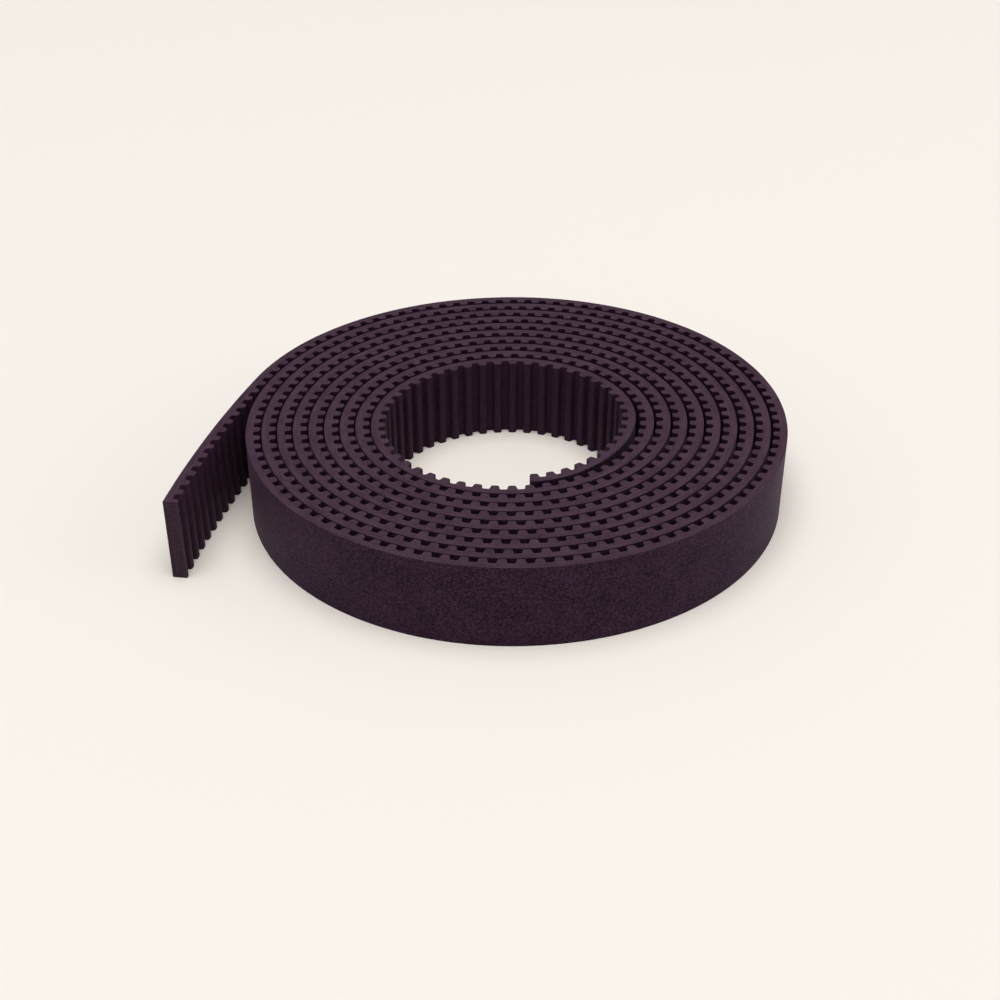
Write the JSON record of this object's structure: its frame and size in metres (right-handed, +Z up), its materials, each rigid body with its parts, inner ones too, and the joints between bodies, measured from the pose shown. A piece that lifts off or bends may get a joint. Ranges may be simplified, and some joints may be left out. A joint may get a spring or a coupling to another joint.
{
  "type": "timing belt",
  "caption": "Open-ended toothed rubber timing belt wound into a flat coil on its edge, teeth inward, with a free tail and a sprung inner end.",
  "frame": {"origin": "the middle of the whole belt's footprint, on the surface that its edge stands on", "axes": "+Z up, along the belt's width and the coil's axis; +X to the right, across the coil and away from the tail; the tail's cut end points to -Y"},
  "size_m": [0.1058, 0.0972, 0.015],
  "materials": {
    "backing_rubber": "matte, fine mottle",
    "tooth_rubber": "matte, fine mottle",
    "tooth_facing": "fine woven nylon, dull sheen",
    "glass_cord": "twisted glass fibre, dipped in dark adhesive"
  },
  "bodies": {
    "coil": {"coil_backing_01": "backing_rubber", "coil_backing_02": "backing_rubber", "coil_backing_03": "backing_rubber", "coil_backing_04": "backing_rubber", "coil_backing_05": "backing_rubber", "coil_backing_06": "backing_rubber", "coil_backing_07": "backing_rubber", "coil_backing_08": "backing_rubber", "coil_backing_09": "backing_rubber", "coil_backing_10": "backing_rubber", "coil_tooth_strip": "tooth_rubber", "coil_tooth_facing": "tooth_facing", "coil_tensile_cords": "glass_cord"},
    "tail_1": {"tail_backing_1": "backing_rubber", "tail_tooth_strip_1": "tooth_rubber", "tail_tooth_facing_1": "tooth_facing", "tail_tensile_cords_1": "glass_cord"},
    "tail_2": {"tail_backing_2": "backing_rubber", "tail_tooth_strip_2": "tooth_rubber", "tail_tooth_facing_2": "tooth_facing", "tail_tensile_cords_2": "glass_cord"},
    "tail_3": {"tail_backing_3": "backing_rubber", "tail_tooth_strip_3": "tooth_rubber", "tail_tooth_facing_3": "tooth_facing", "tail_tensile_cords_3": "glass_cord"},
    "tail_4": {"tail_backing_4": "backing_rubber", "tail_tooth_strip_4": "tooth_rubber", "tail_tooth_facing_4": "tooth_facing", "tail_tensile_cords_4": "glass_cord"},
    "tail_5": {"tail_backing_5": "backing_rubber", "tail_tooth_strip_5": "tooth_rubber", "tail_tooth_facing_5": "tooth_facing", "tail_tensile_cords_5": "glass_cord"},
    "tail_6": {"tail_backing_6": "backing_rubber", "tail_tooth_strip_6": "tooth_rubber", "tail_tooth_facing_6": "tooth_facing", "tail_tensile_cords_6": "glass_cord"},
    "tail_7": {"tail_backing_7": "backing_rubber", "tail_tooth_strip_7": "tooth_rubber", "tail_tooth_facing_7": "tooth_facing", "tail_tensile_cords_7": "glass_cord"},
    "inner_end_1": {"inner_end_backing_1": "backing_rubber", "inner_end_tooth_strip_1": "tooth_rubber", "inner_end_tooth_facing_1": "tooth_facing", "inner_end_tensile_cords_1": "glass_cord"},
    "inner_end_2": {"inner_end_backing_2": "backing_rubber", "inner_end_tooth_strip_2": "tooth_rubber", "inner_end_tooth_facing_2": "tooth_facing", "inner_end_tensile_cords_2": "glass_cord"},
    "inner_end_3": {"inner_end_backing_3": "backing_rubber", "inner_end_tooth_strip_3": "tooth_rubber", "inner_end_tooth_facing_3": "tooth_facing", "inner_end_tensile_cords_3": "glass_cord"},
    "inner_end_4": {"inner_end_backing_4": "backing_rubber", "inner_end_tooth_strip_4": "tooth_rubber", "inner_end_tooth_facing_4": "tooth_facing", "inner_end_tensile_cords_4": "glass_cord"}
  },
  "joints": [
    {"name": "tail_bend_1", "type": "hinge", "parent": "coil", "child": "tail_1", "pos_m": [-0.04344, 0.00992, 0.0075], "axis": [0, 0, 1], "range_deg": [-12, 5.8], "stiffness_Nm_per_rad": 0.01},
    {"name": "tail_bend_2", "type": "hinge", "parent": "tail_1", "child": "tail_2", "pos_m": [-0.04507, 0.00415, 0.0075], "axis": [0, 0, 1], "range_deg": [-12, 5.8]},
    {"name": "tail_bend_3", "type": "hinge", "parent": "tail_2", "child": "tail_3", "pos_m": [-0.04657, -0.00166, 0.0075], "axis": [0, 0, 1], "range_deg": [-12, 5.8]},
    {"name": "tail_bend_4", "type": "hinge", "parent": "tail_3", "child": "tail_4", "pos_m": [-0.04795, -0.0075, 0.0075], "axis": [0, 0, 1], "range_deg": [-12, 5.8]},
    {"name": "tail_bend_5", "type": "hinge", "parent": "tail_4", "child": "tail_5", "pos_m": [-0.04919, -0.01337, 0.0075], "axis": [0, 0, 1], "range_deg": [-12, 5.8]},
    {"name": "tail_bend_6", "type": "hinge", "parent": "tail_5", "child": "tail_6", "pos_m": [-0.05031, -0.01926, 0.0075], "axis": [0, 0, 1], "range_deg": [-12, 5.8]},
    {"name": "tail_bend_7", "type": "hinge", "parent": "tail_6", "child": "tail_7", "pos_m": [-0.0513, -0.02518, 0.0075], "axis": [0, 0, 1], "range_deg": [-12, 5.8]},
    {"name": "inner_end_bend_1", "type": "hinge", "parent": "coil", "child": "inner_end_1", "pos_m": [0.02483, 0.00358, 0.0075], "axis": [0, 0, -1], "range_deg": [0, 9], "stiffness_Nm_per_rad": 0.01},
    {"name": "inner_end_bend_2", "type": "hinge", "parent": "inner_end_1", "child": "inner_end_2", "pos_m": [0.02464, -0.00534, 0.0075], "axis": [0, 0, -1], "range_deg": [0, 9]},
    {"name": "inner_end_bend_3", "type": "hinge", "parent": "inner_end_2", "child": "inner_end_3", "pos_m": [0.02097, -0.0135, 0.0075], "axis": [0, 0, -1], "range_deg": [0, 9]},
    {"name": "inner_end_bend_4", "type": "hinge", "parent": "inner_end_3", "child": "inner_end_4", "pos_m": [0.0147, -0.0199, 0.0075], "axis": [0, 0, -1], "range_deg": [0, 9]}
  ],
  "couplings": [
    {"joint": "tail_bend_2", "follows": "tail_bend_1", "ratio": 1},
    {"joint": "tail_bend_3", "follows": "tail_bend_1", "ratio": 1},
    {"joint": "tail_bend_4", "follows": "tail_bend_1", "ratio": 1},
    {"joint": "tail_bend_5", "follows": "tail_bend_1", "ratio": 1},
    {"joint": "tail_bend_6", "follows": "tail_bend_1", "ratio": 1},
    {"joint": "tail_bend_7", "follows": "tail_bend_1", "ratio": 1},
    {"joint": "inner_end_bend_2", "follows": "inner_end_bend_1", "ratio": 1},
    {"joint": "inner_end_bend_3", "follows": "inner_end_bend_1", "ratio": 1},
    {"joint": "inner_end_bend_4", "follows": "inner_end_bend_1", "ratio": 1}
  ]
}
